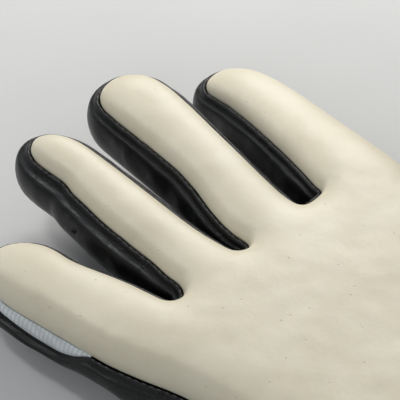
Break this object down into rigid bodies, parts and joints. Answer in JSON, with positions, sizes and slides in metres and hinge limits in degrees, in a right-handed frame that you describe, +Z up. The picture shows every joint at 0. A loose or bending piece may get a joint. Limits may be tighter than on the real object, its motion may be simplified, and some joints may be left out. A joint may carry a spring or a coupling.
{
  "type": "goalkeeper glove",
  "caption": "Right-hand goalkeeper glove, palm up: one-piece cream latex palm, black side gussets, stitched edges, folding finger stalls, slit cuff with a wrap strap and a pull tab.",
  "frame": {"origin": "on the resting surface, under the middle of the glove's box (palm up, lying on its backhand)", "axes": "+X towards the thumb side, +Y towards the middle fingertip, +Z up, out of the palm"},
  "size_m": [0.1832, 0.2862, 0.0426],
  "materials": {
    "palm_latex": "smooth matt latex foam",
    "gusset": "smooth black synthetic leather",
    "side_strip": "pale grey-blue synthetic leather",
    "lining": "brushed knit",
    "foam": "soft foam",
    "punch_pad": "embossed matt foam",
    "cuff_knit": "knitted neoprene laminate",
    "binding": "folded binding tape",
    "strap": "woven elastic strap",
    "elastic": "ribbed elastic",
    "loop": "loop pile",
    "hook": "hook tape",
    "grip": "moulded rubber",
    "webbing": "woven webbing"
  },
  "bodies": {
    "palm": {"backhand_foam": "foam", "backhand_lining": "lining", "backhand_panel": "gusset", "crotch_gusset_index_middle": "gusset", "crotch_gusset_middle_ring": "gusset", "crotch_gusset_ring_little": "gusset", "cuff_back": "cuff_knit", "cuff_binding": "binding", "cuff_palm_little_side": "cuff_knit", "cuff_palm_thumb_side": "cuff_knit", "index_side_panel": "gusset", "little_side_panel": "gusset", "little_side_strip": "side_strip", "loop_patch": "loop", "palm_latex": "palm_latex", "palm_lining": "lining", "punch_pad": "punch_pad", "slit_elastic": "elastic", "strap_band": "strap", "thumb_root_back": "gusset", "thumb_side_panel": "gusset", "thumb_web_gusset": "gusset"},
    "index_base": {"index_base_back": "gusset", "index_base_gusset": "gusset", "index_base_latex": "palm_latex"},
    "index_tip": {"index_tip_back": "gusset", "index_tip_gusset": "gusset", "index_tip_latex": "palm_latex"},
    "middle_base": {"middle_base_back": "gusset", "middle_base_gusset": "gusset", "middle_base_latex": "palm_latex"},
    "middle_tip": {"middle_tip_back": "gusset", "middle_tip_gusset": "gusset", "middle_tip_latex": "palm_latex"},
    "ring_base": {"ring_base_back": "gusset", "ring_base_gusset": "gusset", "ring_base_latex": "palm_latex"},
    "ring_tip": {"ring_tip_back": "gusset", "ring_tip_gusset": "gusset", "ring_tip_latex": "palm_latex"},
    "little_base": {"little_base_back": "gusset", "little_base_gusset": "gusset", "little_base_latex": "palm_latex", "little_base_side_panel": "side_strip"},
    "little_tip": {"little_tip_back": "gusset", "little_tip_gusset": "gusset", "little_tip_latex": "palm_latex", "little_tip_side_panel": "side_strip"},
    "thumb_base": {"thumb_base_back": "gusset", "thumb_base_gusset": "gusset", "thumb_base_latex": "palm_latex"},
    "thumb_tip": {"thumb_tip_back": "gusset", "thumb_tip_gusset": "gusset", "thumb_tip_latex": "palm_latex"},
    "strap_end": {"strap_flap": "strap", "hook_patch": "hook", "strap_grip": "grip"},
    "tab": {"pull_tab": "webbing"}
  },
  "joints": [
    {"name": "index_root_crease", "type": "hinge", "parent": "palm", "child": "index_base", "pos_m": [0.02714, 0.06829, 0.0255], "axis": [0.9962, -0.0872, 0], "range_deg": [-8, 70], "stiffness_Nm_per_rad": 0.1},
    {"name": "index_mid_crease", "type": "hinge", "parent": "index_base", "child": "index_tip", "pos_m": [0.02939, 0.09399, 0.0222], "axis": [0.9962, -0.0872, 0], "range_deg": [-3, 80], "stiffness_Nm_per_rad": 0.1},
    {"name": "middle_root_crease", "type": "hinge", "parent": "palm", "child": "middle_base", "pos_m": [-0.0093, 0.06905, 0.02785], "axis": [0.9962, -0.0872, 0], "range_deg": [-8, 70], "stiffness_Nm_per_rad": 0.1},
    {"name": "middle_mid_crease", "type": "hinge", "parent": "middle_base", "child": "middle_tip", "pos_m": [-0.0066, 0.09986, 0.03001], "axis": [0.9962, -0.0872, 0], "range_deg": [-3, 80], "stiffness_Nm_per_rad": 0.1},
    {"name": "ring_root_crease", "type": "hinge", "parent": "palm", "child": "ring_base", "pos_m": [-0.03839, 0.06903, 0.02761], "axis": [0.999, 0.0436, 0], "range_deg": [-8, 70], "stiffness_Nm_per_rad": 0.1},
    {"name": "ring_mid_crease", "type": "hinge", "parent": "ring_base", "child": "ring_tip", "pos_m": [-0.0397, 0.09896, 0.02913], "axis": [0.999, 0.0436, 0], "range_deg": [-3, 80], "stiffness_Nm_per_rad": 0.1},
    {"name": "little_root_crease", "type": "hinge", "parent": "palm", "child": "little_base", "pos_m": [-0.07079, 0.06831, 0.02605], "axis": [0.9781, 0.2079, 0], "range_deg": [-8, 70], "stiffness_Nm_per_rad": 0.1},
    {"name": "little_mid_crease", "type": "hinge", "parent": "little_base", "child": "little_tip", "pos_m": [-0.07556, 0.09073, 0.0242], "axis": [0.9781, 0.2079, 0], "range_deg": [-3, 80], "stiffness_Nm_per_rad": 0.1},
    {"name": "thumb_root_crease", "type": "hinge", "parent": "palm", "child": "thumb_base", "pos_m": [0.03564, 0.00086, 0.02533], "axis": [0.6743, -0.7385, 0], "range_deg": [-5, 45], "stiffness_Nm_per_rad": 0.1},
    {"name": "thumb_mid_crease", "type": "hinge", "parent": "thumb_base", "child": "thumb_tip", "pos_m": [0.05774, 0.02104, 0.02324], "axis": [0.6743, -0.7385, 0], "range_deg": [-3, 60], "stiffness_Nm_per_rad": 0.1},
    {"name": "strap_fold", "type": "hinge", "parent": "palm", "child": "strap_end", "pos_m": [0.01664, -0.07612, 0.0401], "axis": [0, 1, 0], "range_deg": [0, 150]},
    {"name": "tab_fold", "type": "hinge", "parent": "palm", "child": "tab", "pos_m": [-0.03986, -0.12392, 0.0397], "axis": [-1, 0, 0], "range_deg": [0, 150]}
  ]
}
